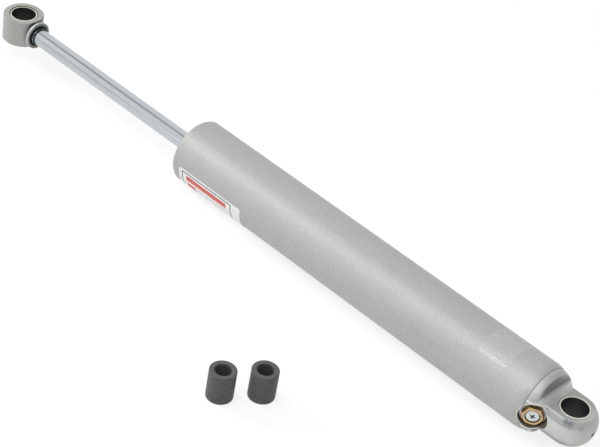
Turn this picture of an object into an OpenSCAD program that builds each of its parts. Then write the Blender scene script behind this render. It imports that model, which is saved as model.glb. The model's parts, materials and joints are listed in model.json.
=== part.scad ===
// Monotube gas shock absorber, laid out as it stands when the gas has pushed the rod right out.
// X runs along the shock from the cap eye to the rod eye, and Z runs along both eye bores.
// The origin is the centre of the cap eye. Two loose mounting sleeves stand beside the body tube.

/* [Overall] */
// Distance between the two eye centres with the rod right out
eye_spacing = 504; // [490:1:520]
// Travel of the rod from right out to right in
stroke = 140; // [60:1:150]

/* [Body tube] */
// Outside diameter of the body tube
tube_od = 45; // [44:0.5:50]
// Wall of the body tube
tube_wall = 2.5; // [2:0.1:3]
// Distance from the cap eye centre to the seam between end cap and tube
tube_start = 22; // [21:0.5:26]
// Length of the body tube
tube_len = 298.5; // [285:0.5:305]
// Bevel on the outer edge of the tube's rod end
tube_edge = 0.35; // [0.1:0.05:0.8]
// Length over which the tube curves in towards the seam
tube_nose_len = 6; // [3:0.5:8]
// Drop of the tube's outer surface at the seam
tube_nose_drop = 1; // [0.2:0.1:1.3]

/* [End cap] */
// Radius of the ball-shaped eye and of the neck behind it
eye_r = 16; // [15:0.5:17]
// Width of the cap eye across its two milled flats
cap_eye_w = 19.6; // [18:0.2:24]
// Distance from the seam back to the wall where the flats end
flat_wall_gap = 5; // [4:0.25:6]
// Radius in the corner between a flat and its wall
flat_corner_r = 1.5; // [1:0.25:3]
// Drop of the end cap's shoulder at the seam, measured from the tube's outside radius
shoulder_drop = 1.2; // [0.5:0.1:1.5]
// Radius of the rounded shoulder in front of the seam
shoulder_r = 11; // [9:0.25:12]
// Radius of the hollow between neck and shoulder
neck_fillet_r = 2.75; // [1.5:0.25:3]
// Length of the plug that screws into the tube
plug_len = 18; // [16:0.5:24]
// Diameter of the lathe centre hole in the tip of the eye
centre_hole_d = 3; // [2:0.5:4]
// Depth of the lathe centre hole
centre_hole_depth = 3.5; // [2:0.5:5]

/* [Eye bushes] */
// Bore of both eye bushes
bush_bore = 17; // [15:0.5:18]
// Wall of both eye bushes
bush_wall = 1; // [0.8:0.1:1.5]
// Length of the bush in the cap eye
cap_bush_len = 19.4; // [17:0.1:19.6]
// Length of the bush in the rod eye
rod_bush_len = 18.7; // [17:0.1:19.5]
// Bevel at the mouths of the cap eye
cap_mouth_bevel = 0.4; // [0.2:0.1:0.8]
// Bevel at the mouths of the rod eye
rod_mouth_bevel = 0.7; // [0.3:0.1:1]

/* [Gas valve] */
// Distance from the seam to the point where the valve axis meets the centre line
valve_offset = 5; // [4:0.25:6]
// Lean of the valve axis away from square, towards the eye
valve_lean = 32.7; // [30:0.1:36]
// Depth of the hexagon's outer face inside the tube's outside radius
valve_sink = 2; // [1:0.1:2.5]
// Width across the flats of the valve's hexagon
valve_hex_w = 12; // [11:0.1:13]
// Height of the hexagon
valve_hex_h = 3.5; // [3:0.1:4.5]
// Turn of the hexagon about its own axis
valve_hex_turn = -4; // [-30:1:30]
// Diameter of the pocket that the hexagon stands in
valve_pocket_d = 18; // [17:0.1:18.5]
// Thread diameter of the valve body
valve_shank_d = 10; // [9:0.25:10.5]
// Length of the valve body below its hexagon
valve_shank_len = 8.5; // [8:0.25:10]
// Diameter of the recess for the screw head
valve_recess_d = 9.1; // [8.6:0.1:9.6]
// Diameter of the closing screw's head
valve_screw_head_d = 8.2; // [7:0.1:8.5]
// Height of the closing screw's head
valve_screw_head_h = 2.2; // [1.6:0.1:2.4]
// Thread diameter of the closing screw
valve_screw_d = 4; // [3:0.25:4.5]
// Length of each slot of the screw's cross recess
valve_cross_len = 4; // [3:0.25:5]
// Width of each slot of the cross recess
valve_cross_w = 1; // [0.6:0.1:1.4]
// Depth of the cross recess
valve_cross_depth = 1.3; // [0.8:0.1:1.5]
// Turn of the cross recess about the valve axis
valve_cross_turn = 65; // [0:5:90]
// Diameter of the rubber plug that the filling needle pierces
valve_rubber_d = 6; // [5:0.25:6.5]
// Length of the rubber plug
valve_rubber_len = 3; // [2:0.25:4]
// Diameter of the passages that lead the gas to the tube
gas_hole_d = 3.5; // [2:0.25:4.5]

/* [Seal head] */
// Length of the seal head
head_len = 20; // [18:0.5:24]
// Depth of the seal head's outer face inside the tube mouth
head_depth = 8; // [8:0.25:10]
// Lip of the seal head in front of the guide bush
head_lip = 2; // [1.5:0.25:3]
// Wall of the rod guide bush
guide_wall = 1; // [0.8:0.1:1.5]
// Length of the rod guide bush
guide_len = 9; // [8:0.5:10]
// Radial thickness of the rod seal
seal_wall = 4; // [3:0.25:5]
// Length of the rod seal
seal_len = 5; // [4:0.25:6]
// Thickness of the rod seal's inner and outer lip
seal_lip_t = 1.2; // [0.8:0.1:1.4]
// Relief behind the rod seal's inner lip
seal_relief = 0.4; // [0.2:0.05:0.6]
// Thickness of the steel washer behind the rod seal
seal_washer_t = 2; // [1:0.25:2.5]
// Wire diameter of the round circlip
circlip_wire = 1.8; // [1.4:0.1:2]
// Arc that the circlip covers
circlip_arc = 335; // [300:5:345]

/* [Dust cap] */
// Thickness of the dust cap's flange
cap_flange_t = 1; // [0.8:0.1:1.5]
// Distance of the flange's edge inside the tube's outer surface
cap_flange_inset = 0.7; // [0.5:0.1:1.2]
// Depth of the dust cap's skirt inside the tube
cap_skirt_len = 4.5; // [3:0.25:5]
// Wall of the dust cap
cap_wall = 1.2; // [0.8:0.1:1.6]
// Radial thickness of the rod wiper
wiper_wall = 3.4; // [3:0.1:4]
// Length of the wiper's seat in the dust cap
wiper_len = 4; // [3:0.25:4.25]
// Length of the wiper's lip in front of the dust cap
wiper_lip = 1.6; // [1:0.1:2]
// Thickness of the wiper's lip
wiper_lip_t = 0.7; // [0.5:0.1:1]

/* [Piston rod] */
// Diameter of the chromed rod
rod_d = 12; // [10:0.5:13]
// Diameter of the rod's end that carries the piston
post_d = 8; // [7:0.25:8.5]
// Thread diameter of the rod in the rod eye
rod_thread_d = 10; // [8.5:0.25:10.5]
// Length of the rod's thread
rod_thread_len = 7.4; // [6:0.2:7.8]
// Bevel at the outer end of the chromed rod
rod_end_bevel = 0.7; // [0.4:0.1:0.9]

/* [Rod eye] */
// Radius of the rod eye
rod_eye_r = 14.3; // [13.5:0.1:16]
// Width of the rod eye along its bore
rod_eye_w = 19.5; // [19.5:0.1:24]
// Bevel on the two faces of the rod eye
rod_eye_edge = 0.6; // [0.3:0.1:1.2]
// Diameter of the neck behind the flange
rod_neck_d = 14; // [13:0.25:16]
// Diameter of the flange
rod_flange_d = 20.2; // [19:0.1:21]
// Distance from the rod eye's centre to the outer face of its flange
rod_flange_x = 17.2; // [16.6:0.1:18]
// Thickness of the flange
rod_flange_t = 2.6; // [2:0.1:3]
// Bevel on the flange
rod_flange_edge = 0.6; // [0.3:0.1:1]
// Diameter of the recess in the flange
rod_recess_d = 15.6; // [14.5:0.1:16.5]
// Depth of the recess
rod_recess_depth = 1.2; // [0.8:0.1:1.5]
// Distance that the jam ring stands proud of the flange
jam_ring_proud = 1.8; // [1.2:0.1:2.5]
// Radial width of the jam ring around the rod's thread
jam_ring_wall = 1.8; // [1.2:0.1:2]

/* [Damping piston] */
// Length of the piston
piston_len = 16; // [14:0.5:20]
// Radial gap between the piston and the bore
piston_gap = 0.6; // [0.4:0.05:0.8]
// Width of the piston ring
piston_ring_w = 8; // [6:0.25:9]
// Thickness of the piston ring
piston_ring_t = 1.6; // [1.2:0.1:2]
// Place of the piston ring's slit around the rod
ring_slit_angle = 45; // [0:5:90]
// Number of ports each way
port_count = 3; // [2:1:4]
// Arc of each port
port_arc = 34; // [20:1:38]
// Inner radius of the ports
port_in_r = 10.5; // [9:0.25:11]
// Radial width of the ports
port_w = 4; // [2.5:0.25:4.5]
// Depth of the pockets that let oil reach the ports past the shims
port_pocket = 2.5; // [1.5:0.25:3]
// Number of shims in each stack
shim_count = 5; // [3:1:7]
// Thickness of one shim
shim_t = 0.3; // [0.2:0.05:0.4]
// Radius of the widest shim
shim_wide_r = 16; // [15.5:0.25:17]
// Radius of the narrowest shim
shim_narrow_r = 8.5; // [7.5:0.25:10]
// Thickness of the backing washer under the nut
washer_t = 2.5; // [1.5:0.25:4]
// Width across the flats of the piston nut
nut_w = 13; // [12:0.5:14]
// Height of the piston nut
nut_h = 7; // [5:0.25:9]
// Length of the rod's end that shows past the nut
post_proud = 1.5; // [0.5:0.25:3]

/* [Rebound stop] */
// Radius of the stop plate between piston and bumper
stop_r = 12.5; // [11:0.25:14]
// Thickness of the stop plate
stop_t = 4; // [3:0.25:6]
// Length of the rubber rebound bumper
bumper_len = 6; // [4:0.25:8]
// Radius of the rubber rebound bumper
bumper_r = 11; // [10:0.25:12]

/* [Floating piston] */
// Length of the gas space with the rod right in
gas_len = 31.4; // [24:0.2:40]
// Length of the floating piston
float_len = 16; // [14:0.5:20]
// Width of the floating piston's wear band
float_band_w = 4; // [3:0.25:5]
// Thickness of the floating piston's wear band
float_band_t = 1.5; // [1.2:0.1:2]
// Depth of the cup on the gas side
float_cup_depth = 9; // [6:0.25:11]
// Radius of the cup on the gas side
float_cup_r = 13; // [10:0.25:14]

/* [Seal rings] */
// Wire diameter of the large seal rings that seal against the bore
o_ring_wire = 2.5; // [2:0.1:2.8]
// Wire diameter of the small seal ring round the valve
valve_o_ring_wire = 1.6; // [1.2:0.1:1.7]

/* [Mounting sleeves] */
// Bore of the loose mounting sleeves
sleeve_bore = 10.2; // [8:0.1:12.5]
// Length of the loose mounting sleeves
sleeve_len = 20.5; // [18:0.5:26]
// Bevel on the sleeve edges
sleeve_edge = 0.4; // [0.2:0.1:0.8]
// Place of the first sleeve along the shock
sleeve_a_x = 155.8; // [120:0.1:220]
// Place of the first sleeve beside the shock
sleeve_a_y = 134.4; // [100:0.1:160]
// Place of the second sleeve along the shock
sleeve_b_x = 140.9; // [110:0.1:210]
// Place of the second sleeve beside the shock
sleeve_b_y = 114.1; // [70:0.1:140]

/* [Labels] */
// Distance from the rod end of the tube to the paper label
label_inset = 6; // [4:0.5:20]
// Length of the paper label along the tube
label_len = 57.5; // [40:0.5:80]
// Angle of the paper label's upper edge, measured up from the level of the centre line
label_top = 1.5; // [-10:0.5:10]
// Arc that the paper label covers
label_arc = 69.5; // [40:0.5:90]
// Thickness of the paper label
label_t = 0.12; // [0.1:0.01:0.2]
// Distance from the seam to the clear film
film_offset = 21; // [15:0.5:40]
// Length of the clear film along the tube
film_len = 21; // [15:0.5:40]
// Angle of the clear film's lower edge, measured up from the level of the centre line
film_bottom = 40; // [20:1:60]
// Arc that the clear film covers
film_arc = 100; // [60:1:120]
// Thickness of the clear film
film_t = 0.08; // [0.06:0.01:0.15]

/* [Fits] */
// Radial gap of a part that runs on another
running_gap = 0.05; // [0.02:0.01:0.1]
// Radial gap of a part that is pressed or screwed in
seat_gap = 0.03; // [0.01:0.01:0.05]
// Gap at the side of a ring in its groove
groove_gap = 0.1; // [0.05:0.01:0.2]
// Gap between a soft part and the face that it stops against
soft_gap = 0.3; // [0.2:0.05:0.5]
// Radial gap round a rod that passes a plain hole
pass_gap = 0.6; // [0.4:0.05:1]
// Gap between neighbouring shims
shim_gap = 0.02; // [0.01:0.01:0.05]
// Thickness of the glue under the label and the film
glue_t = 0.05; // [0.02:0.01:0.1]

/* [Hidden] */
$fn = 96;

// Extra length that lets a cut run past the face it opens
past = 1;
// Facets round the wire of a seal ring or circlip
wire_facets = 48;
// Facets of the full circle that the tube's short nose arc is cut from
nose_facets = 360;

tube_r = tube_od / 2;
bore_r = tube_r - tube_wall;
rod_r = rod_d / 2;
post_r = post_d / 2;
bush_r = bush_bore / 2 + bush_wall;
floor_z = -tube_r;

// Places along X, from the cap eye to the rod eye
plug_end = tube_start + plug_len;
flat_wall_x = tube_start - flat_wall_gap;
valve_x = tube_start + valve_offset;
tube_end = tube_start + tube_len;
head_out = tube_end - head_depth;
head_in = head_out - head_len;
bumper_x = head_in - soft_gap - bumper_len;
stop_x = bumper_x - stop_t;
shim_stack_len = shim_count * (shim_t + shim_gap);
piston_x = stop_x - shim_stack_len - piston_len;
washer_x = piston_x - shim_stack_len - washer_t;
nut_x = washer_x - nut_h;
post_end = nut_x - post_proud;
float_travel = stroke * pow(rod_r / bore_r, 2);
float_x = plug_end + gas_len + float_travel;
rod_flange_face = eye_spacing - rod_flange_x;
jam_ring_x = rod_flange_face - jam_ring_proud;
thread_end = jam_ring_x + rod_thread_len;

// Arc that curves the tube in towards the seam, as a radius and a centre [radius, height]
nose_r = (pow(tube_nose_len, 2) + pow(tube_nose_drop, 2)) / (2 * tube_nose_drop);
nose_c = [tube_r - nose_r, tube_nose_len];

// Arc centres of the end cap's profile, as [radius, place along X]
shoulder_c = [tube_r - shoulder_drop - shoulder_r, tube_start];
fillet_r_pos = eye_r + neck_fillet_r;
fillet_reach = shoulder_r + neck_fillet_r;
fillet_c = [fillet_r_pos, tube_start - sqrt(pow(fillet_reach, 2) - pow(fillet_r_pos - shoulder_c[0], 2))];
fillet_end = shoulder_c + (fillet_c - shoulder_c) * shoulder_r / fillet_reach;

// Heights along the valve axis, measured from the centre line
valve_face = tube_r - valve_sink;
valve_floor = valve_face - valve_hex_h;
valve_shank_end = valve_floor - valve_shank_len;
valve_screw_seat = valve_face - valve_screw_head_h;
valve_rubber_end = valve_shank_end + valve_rubber_len;
valve_screw_end = valve_rubber_end + soft_gap;

// Seal rings and their grooves
o_ring_floor_r = bore_r - o_ring_wire;
o_ring_groove_w = o_ring_wire + 2 * groove_gap;
plug_o_ring_x = plug_end - 2 * o_ring_wire;
head_o_ring_x = head_in + head_len / 2;
float_o_ring_x = float_x + float_len / 2;
float_band_x = float_x + float_len - float_band_w - 2 * groove_gap - o_ring_wire / 2;

// Seats inside the seal head
guide_x = head_in + head_lip;
seal_x = guide_x + guide_len;
seal_washer_x = seal_x + seal_len + groove_gap;
circlip_x = head_out + circlip_wire / 2;

// Piston and its ring
piston_r = bore_r - piston_gap;
ring_out_r = bore_r - running_gap;
ring_in_r = ring_out_r - piston_ring_t;
ring_x = piston_x + (piston_len - piston_ring_w) / 2;
wiper_x = tube_end + cap_flange_t - wiper_len;

sleeve_r = bush_bore / 2 - running_gap;

chrome = "#c9d3da";
cast_grey = "#8f9290";
satin_silver = "#b5b7b4";
painted_grey = "#b0b2af";
brass = "#c99a55";
rubber_black = "#232325";
steel = "#9a9ca0";

// Lays a shape made along Z on the shock's centre line, from place x onwards.
// Angles about it then count from +Y up towards +Z.
module along_x(x = 0) {
  translate([x, 0, 0]) rotate([90, 0, 90]) children();
}

// Stands a shape made along Z on the valve axis, at a height above the centre line.
module along_valve(height = 0) {
  translate([valve_x, 0, 0]) rotate([-90, 0, valve_lean]) translate([0, 0, height]) children();
}

// Plain hollow cylinder
module tube(outer_r, inner_r, length) {
  difference() {
    cylinder(r = outer_r, h = length);
    translate([0, 0, -past]) cylinder(r = inner_r, h = length + 2 * past);
  }
}

// Hollow cylinder with both outer edges bevelled
module bevelled_tube(outer_r, inner_r, length, edge) {
  rotate_extrude() polygon([
    [inner_r, 0], [outer_r - edge, 0], [outer_r, edge],
    [outer_r, length - edge], [outer_r - edge, length], [inner_r, length]
  ]);
}

// Solid cylinder with both outer edges bevelled
module bevelled_rod(r, length, edge) {
  bevelled_tube(r, 0, length, edge);
}

// Ring of round wire about Z
module wire_ring(mean_r, wire, arc = 360) {
  rotate_extrude(angle = arc) translate([mean_r, 0]) circle(d = wire, $fn = wire_facets);
}

// Groove round the outside of a piston or plug, with its middle at height 0
module outer_groove(surface_r, floor_r, width) {
  translate([0, 0, -width / 2]) tube(surface_r + past, floor_r, width);
}

// Groove for a large seal ring
module seal_ring_groove() {
  outer_groove(bore_r, o_ring_floor_r, o_ring_groove_w);
}

// Large seal ring, clear of its groove's floor and of the bore
module seal_ring() {
  color(rubber_black) wire_ring(bore_r - o_ring_wire / 2, o_ring_wire - 2 * running_gap);
}

// Bevel that opens both mouths of a bore along Z
module mouth_bevels(r, width, bevel) {
  for (side = [0, 1]) mirror([0, 0, side])
    translate([0, 0, width / 2 - bevel]) cylinder(r1 = r, r2 = r + bevel + past, h = bevel + past);
}

// Hexagonal head along Z with its corners turned off at the far end
module hex_head(width, height) {
  corner_r = width / sqrt(3);
  intersection() {
    cylinder(r = corner_r, h = height, $fn = 6);
    cylinder(r1 = width / 2 + height * sqrt(3), r2 = width / 2, h = height);
  }
}

// Pocket that the valve's hexagon stands in, cut through end cap and tube alike
module valve_pocket() {
  along_valve(valve_floor) cylinder(d = valve_pocket_d, h = tube_r);
}

// Half section of the body tube: curved nose at the seam, bevelled edge at the rod end
module body_tube_section() {
  intersection() {
    translate(nose_c) circle(r = nose_r, $fn = nose_facets);
    translate([bore_r, 0]) square([tube_wall, tube_nose_len]);
  }
  polygon([
    [bore_r, tube_nose_len], [tube_r, tube_nose_len],
    [tube_r, tube_len - tube_edge], [tube_r - tube_edge, tube_len], [bore_r, tube_len]
  ]);
}

module body_tube() {
  color(painted_grey) difference() {
    along_x(tube_start) rotate_extrude() body_tube_section();
    along_x(circlip_x) wire_ring(bore_r, circlip_wire + 2 * running_gap);
    valve_pocket();
  }
}

// Half outline of the turned end cap: ball end, neck, hollow, shoulder and plug
module end_cap_outline() {
  intersection() {
    circle(r = eye_r);
    translate([0, -eye_r]) square([eye_r, eye_r]);
  }
  square([eye_r, tube_start]);
  difference() {
    polygon([[0, fillet_c[1]], fillet_c, fillet_end, [0, fillet_end[1]]]);
    translate(fillet_c) circle(r = neck_fillet_r);
  }
  intersection() {
    translate(shoulder_c) circle(r = shoulder_r);
    translate([shoulder_c[0], tube_start - shoulder_r]) square([shoulder_r, shoulder_r]);
  }
  translate([0, tube_start - shoulder_r]) square([shoulder_c[0], shoulder_r]);
  translate([0, tube_start - past]) square([bore_r - seat_gap, plug_len + past]);
}

// Cutter for one flat, with the round corner that the milling cutter leaves
module eye_flat_cut() {
  reach = 2 * tube_r;
  translate([-reach, -reach, cap_eye_w / 2]) {
    cube([reach + flat_wall_x - flat_corner_r, 2 * reach, tube_r]);
    translate([0, 0, flat_corner_r]) cube([reach + flat_wall_x, 2 * reach, tube_r]);
  }
  translate([flat_wall_x - flat_corner_r, 0, cap_eye_w / 2 + flat_corner_r])
    rotate([90, 0, 0]) cylinder(r = flat_corner_r, h = 2 * reach, center = true);
}

// Threaded hole for the valve body, seal ring seat and the drillings that lead to the gas space
module gas_passage() {
  along_valve(valve_shank_end - gas_hole_d / 2)
    cylinder(d = valve_shank_d + 2 * seat_gap, h = tube_r);
  along_valve(valve_floor - valve_o_ring_wire - groove_gap)
    cylinder(d = valve_shank_d + valve_o_ring_wire, h = tube_r);
  along_valve(-gas_hole_d / 2) cylinder(d = gas_hole_d, h = tube_r / 2);
  along_x(valve_x - gas_hole_d / 2) cylinder(d = gas_hole_d, h = plug_len);
}

module end_cap() {
  color(satin_silver) difference() {
    along_x() rotate_extrude() end_cap_outline();
    for (side = [0, 1]) mirror([0, 0, side]) eye_flat_cut();
    cylinder(r = bush_r + seat_gap, h = 2 * eye_r, center = true);
    mouth_bevels(bush_r, cap_eye_w, cap_mouth_bevel);
    along_x(-eye_r - past) cylinder(d = centre_hole_d, h = centre_hole_depth + past);
    along_x(plug_o_ring_x) seal_ring_groove();
    valve_pocket();
    gas_passage();
  }
}

module end_cap_o_ring() {
  along_x(plug_o_ring_x) seal_ring();
}

module eye_bush(length) {
  translate([0, 0, -length / 2]) bevelled_tube(bush_r, bush_bore / 2, length, bush_wall / 4);
}

module cap_eye_bush() {
  color("#d8d3bf") eye_bush(cap_bush_len);
}

module gas_valve_body() {
  color(brass) along_valve() rotate([0, 0, valve_hex_turn]) difference() {
    union() {
      translate([0, 0, valve_floor]) hex_head(valve_hex_w, valve_hex_h);
      translate([0, 0, valve_shank_end]) cylinder(d = valve_shank_d, h = valve_shank_len + past);
    }
    translate([0, 0, valve_floor - valve_o_ring_wire / 2])
      outer_groove(valve_shank_d / 2, (valve_shank_d - valve_o_ring_wire) / 2, valve_o_ring_wire);
    translate([0, 0, valve_screw_seat]) cylinder(d = valve_recess_d, h = valve_hex_h);
    cylinder(d = valve_screw_d + 2 * seat_gap, h = tube_r);
    translate([0, 0, valve_rubber_end - tube_r]) cylinder(d = valve_rubber_d + 2 * seat_gap, h = tube_r);
  }
}

module gas_valve_o_ring() {
  color(rubber_black) along_valve(valve_floor - valve_o_ring_wire / 2)
    wire_ring(valve_shank_d / 2, valve_o_ring_wire - groove_gap);
}

module gas_valve_rubber() {
  color(rubber_black) along_valve(valve_shank_end)
    cylinder(d = valve_rubber_d, h = valve_rubber_len);
}

// Closing screw with a cross recess
module gas_valve_screw() {
  color("#c8cdcc") along_valve() difference() {
    union() {
      translate([0, 0, valve_screw_seat])
        bevelled_rod(valve_screw_head_d / 2, valve_screw_head_h, valve_screw_head_h / 8);
      translate([0, 0, valve_screw_end])
        cylinder(d = valve_screw_d, h = valve_screw_seat - valve_screw_end + past / 2);
    }
    for (slot = [0, 1]) rotate([0, 0, valve_cross_turn + slot * 90])
      translate([-valve_cross_len / 2, -valve_cross_w / 2, valve_face - valve_cross_depth])
        cube([valve_cross_len, valve_cross_w, valve_cross_depth + past]);
  }
}

module seal_head() {
  color(satin_silver) difference() {
    along_x(head_in) bevelled_rod(bore_r - seat_gap, head_len, head_lip / 2);
    along_x(head_in - past) cylinder(r = rod_r + pass_gap, h = head_len);
    along_x(guide_x) cylinder(r = rod_r + running_gap + guide_wall + seat_gap, h = head_len);
    along_x(seal_x) cylinder(r = rod_r + running_gap + seal_wall + seat_gap, h = head_len);
    along_x(head_o_ring_x) seal_ring_groove();
  }
}

module seal_head_o_ring() {
  along_x(head_o_ring_x) seal_ring();
}

module rod_guide_bush() {
  color("#8a7a60") along_x(guide_x)
    tube(rod_r + running_gap + guide_wall, rod_r + running_gap, guide_len);
}

// Lip seal with a spring groove on its oil side
module rod_seal() {
  inner = rod_r + running_gap;
  outer = inner + seal_wall;
  color(rubber_black) along_x(seal_x) rotate_extrude() polygon([
    [inner, 0], [inner + seal_lip_t, 0], [(inner + outer) / 2, seal_len / 2],
    [outer - seal_lip_t, 0], [outer, 0], [outer, seal_len],
    [inner + seal_relief, seal_len], [inner + seal_relief, seal_len / 2]
  ]);
}

module rod_seal_washer() {
  color(steel) along_x(seal_washer_x)
    tube(rod_r + running_gap + seal_wall, rod_r + pass_gap, seal_washer_t);
}

module seal_head_circlip() {
  color(steel) along_x(circlip_x) rotate([0, 0, (360 - circlip_arc) / 2 - 90])
    wire_ring(bore_r, circlip_wire, circlip_arc);
}

// Turned cap with a flange on the tube's end, a skirt in its mouth and a seat for the wiper
module dust_cap() {
  seat_r = rod_r + running_gap + wiper_wall + seat_gap;
  skirt_r = bore_r - seat_gap;
  color("#cfc9b4") along_x(tube_end) rotate_extrude() union() {
    translate([seat_r, 0]) square([tube_r - cap_flange_inset - seat_r, cap_flange_t]);
    translate([skirt_r - cap_wall, -cap_skirt_len]) square([cap_wall, cap_skirt_len]);
    translate([seat_r, cap_flange_t - wiper_len - cap_wall]) square([cap_wall, wiper_len + cap_wall]);
    translate([rod_r + pass_gap, cap_flange_t - wiper_len - cap_wall])
      square([seat_r + cap_wall / 2 - rod_r - pass_gap, cap_wall]);
  }
}

// Wiper with a thin lip that leans outwards along the rod
module rod_wiper() {
  inner = rod_r + running_gap;
  color(rubber_black) along_x(wiper_x) rotate_extrude() polygon([
    [inner + wiper_lip_t, 0], [inner + wiper_wall, 0], [inner + wiper_wall, wiper_len],
    [inner + wiper_wall / 2, wiper_len], [inner + wiper_lip_t, wiper_len + wiper_lip],
    [inner, wiper_len + wiper_lip], [inner + wiper_lip_t, wiper_len / 2]
  ]);
}

// Thin patch that follows the tube from place x, between two angles
module tube_patch(x, length, start, arc, thickness) {
  along_x(x) rotate([0, 0, start]) rotate_extrude(angle = arc)
    translate([tube_r + glue_t, 0]) square([thickness, length]);
}

module paper_label() {
  color("#eef0ee")
    tube_patch(tube_end - label_inset - label_len, label_len, label_top - label_arc, label_arc, label_t);
}

module clear_film() {
  color("#d5d9d8", 0.4)
    tube_patch(tube_start + film_offset, film_len, film_bottom, film_arc, film_t);
}

// Split ring that guides the piston in the bore
module piston_ring() {
  color("#3a3f46") along_x(ring_x) difference() {
    tube(ring_out_r, ring_in_r, piston_ring_w);
    rotate([0, 0, ring_slit_angle]) translate([0, -groove_gap, -past])
      cube([bore_r + past, 2 * groove_gap, piston_ring_w + 2 * past]);
  }
}

module piston_rod() {
  color(chrome) {
    along_x(post_end) bevelled_rod(post_r, bumper_x - post_end + past, rod_end_bevel);
    along_x(bumper_x) rotate_extrude() polygon([
      [0, 0], [rod_r - groove_gap, 0], [rod_r, groove_gap],
      [rod_r, jam_ring_x - bumper_x - rod_end_bevel],
      [rod_r - rod_end_bevel, jam_ring_x - bumper_x], [0, jam_ring_x - bumper_x]
    ]);
    along_x(jam_ring_x - past) bevelled_rod(rod_thread_d / 2, rod_thread_len + past, rod_end_bevel);
  }
}

// Forged eye with a flanged neck that the rod screws into
module rod_eye() {
  color(cast_grey) difference() {
    union() {
      translate([eye_spacing, 0, -rod_eye_w / 2]) bevelled_rod(rod_eye_r, rod_eye_w, rod_eye_edge);
      along_x(rod_flange_face) bevelled_rod(rod_flange_d / 2, rod_flange_t, rod_flange_edge);
      along_x(rod_flange_face + rod_flange_t / 2)
        cylinder(d = rod_neck_d, h = rod_flange_x - rod_flange_t / 2);
    }
    translate([eye_spacing, 0, 0]) {
      cylinder(r = bush_r + seat_gap, h = 2 * rod_eye_r, center = true);
      mouth_bevels(bush_r, rod_eye_w, rod_mouth_bevel);
    }
    along_x(rod_flange_face - past) cylinder(d = rod_recess_d, h = rod_recess_depth + past);
    along_x(rod_flange_face - past)
      cylinder(d = rod_thread_d + 2 * seat_gap, h = thread_end - rod_flange_face + past + groove_gap);
  }
}

module rod_eye_bush() {
  color("#d8d3bf") translate([eye_spacing, 0, 0]) eye_bush(rod_bush_len);
}

module rod_jam_ring() {
  color("#8fa3a6") along_x(jam_ring_x)
    bevelled_tube(rod_thread_d / 2 + jam_ring_wall, rod_thread_d / 2 + seat_gap,
                  jam_ring_proud + rod_recess_depth, jam_ring_wall / 8);
}

module rebound_bumper() {
  color(rubber_black) along_x(bumper_x)
    bevelled_tube(bumper_r, rod_r + running_gap, bumper_len, bumper_len / 6);
}

module rebound_stop_plate() {
  color(steel) along_x(stop_x) bevelled_tube(stop_r, post_r + seat_gap, stop_t, stop_t / 8);
}

// Stack of shims that narrows away from the piston face at height 0
module shim_stack() {
  for (i = [0 : shim_count - 1])
    translate([0, 0, i * (shim_t + shim_gap)])
      tube(shim_wide_r - i * (shim_wide_r - shim_narrow_r) / (shim_count - 1), post_r + seat_gap, shim_t);
}

module compression_shims() {
  color("#7f8790") along_x(piston_x + piston_len + shim_gap) shim_stack();
}

module rebound_shims() {
  color("#7f8790") along_x(piston_x - shim_gap) mirror([0, 0, 1]) shim_stack();
}

// Set of kidney-shaped cuts about Z
module kidney_cuts(first_angle, inner_r, outer_r, length) {
  for (i = [0 : port_count - 1]) rotate([0, 0, first_angle + i * 360 / port_count - port_arc / 2])
    rotate_extrude(angle = port_arc) translate([inner_r, 0]) square([outer_r - inner_r, length]);
}

// Ported piston: half the ports open under one shim stack and half under the other,
// and each port is fed through a pocket that reaches past the shims on its inlet face
module piston() {
  half_pitch = 180 / port_count;
  color("#a3a6a4") along_x(piston_x) difference() {
    bevelled_tube(piston_r, post_r + seat_gap, piston_len, piston_gap);
    translate([0, 0, piston_len / 2])
      outer_groove(piston_r, ring_in_r - groove_gap, piston_ring_w + 2 * groove_gap);
    translate([0, 0, -past])
      kidney_cuts(0, port_in_r, port_in_r + port_w, piston_len + 2 * past);
    translate([0, 0, -past])
      kidney_cuts(half_pitch, port_in_r, port_in_r + port_w, piston_len + 2 * past);
    translate([0, 0, -past]) kidney_cuts(0, port_in_r, bore_r, port_pocket + past);
    translate([0, 0, piston_len - port_pocket])
      kidney_cuts(half_pitch, port_in_r, bore_r, port_pocket + past);
  }
}

module rebound_washer() {
  color(steel) along_x(washer_x)
    bevelled_tube(shim_narrow_r, post_r + seat_gap, washer_t, washer_t / 8);
}

module piston_nut() {
  color(steel) along_x(nut_x) difference() {
    mirror([0, 0, 1]) translate([0, 0, -nut_h]) hex_head(nut_w, nut_h);
    translate([0, 0, -past]) cylinder(r = post_r + seat_gap, h = nut_h + 2 * past);
  }
}

// Floating piston that parts the gas from the oil, with its cup on the gas side
module floating_piston() {
  float_r = bore_r - 2 * running_gap;
  color(satin_silver) difference() {
    along_x(float_x) bevelled_rod(float_r, float_len, o_ring_wire / 4);
    along_x(float_x - past) cylinder(r = float_cup_r, h = float_cup_depth + past);
    along_x(float_o_ring_x) seal_ring_groove();
    along_x(float_band_x + float_band_w / 2)
      outer_groove(float_r, float_r - float_band_t, float_band_w + 2 * groove_gap);
  }
}

module floating_piston_o_ring() {
  along_x(float_o_ring_x) seal_ring();
}

module floating_piston_band() {
  color("#3a3f46") along_x(float_band_x)
    tube(bore_r - running_gap, bore_r - float_band_t, float_band_w);
}

module mount_sleeve(x, y) {
  color("#3b3b3d") translate([x, y, floor_z])
    bevelled_tube(sleeve_r, sleeve_bore / 2, sleeve_len, sleeve_edge);
}

module mount_sleeve_a() mount_sleeve(sleeve_a_x, sleeve_a_y);
module mount_sleeve_b() mount_sleeve(sleeve_b_x, sleeve_b_y);

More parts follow.
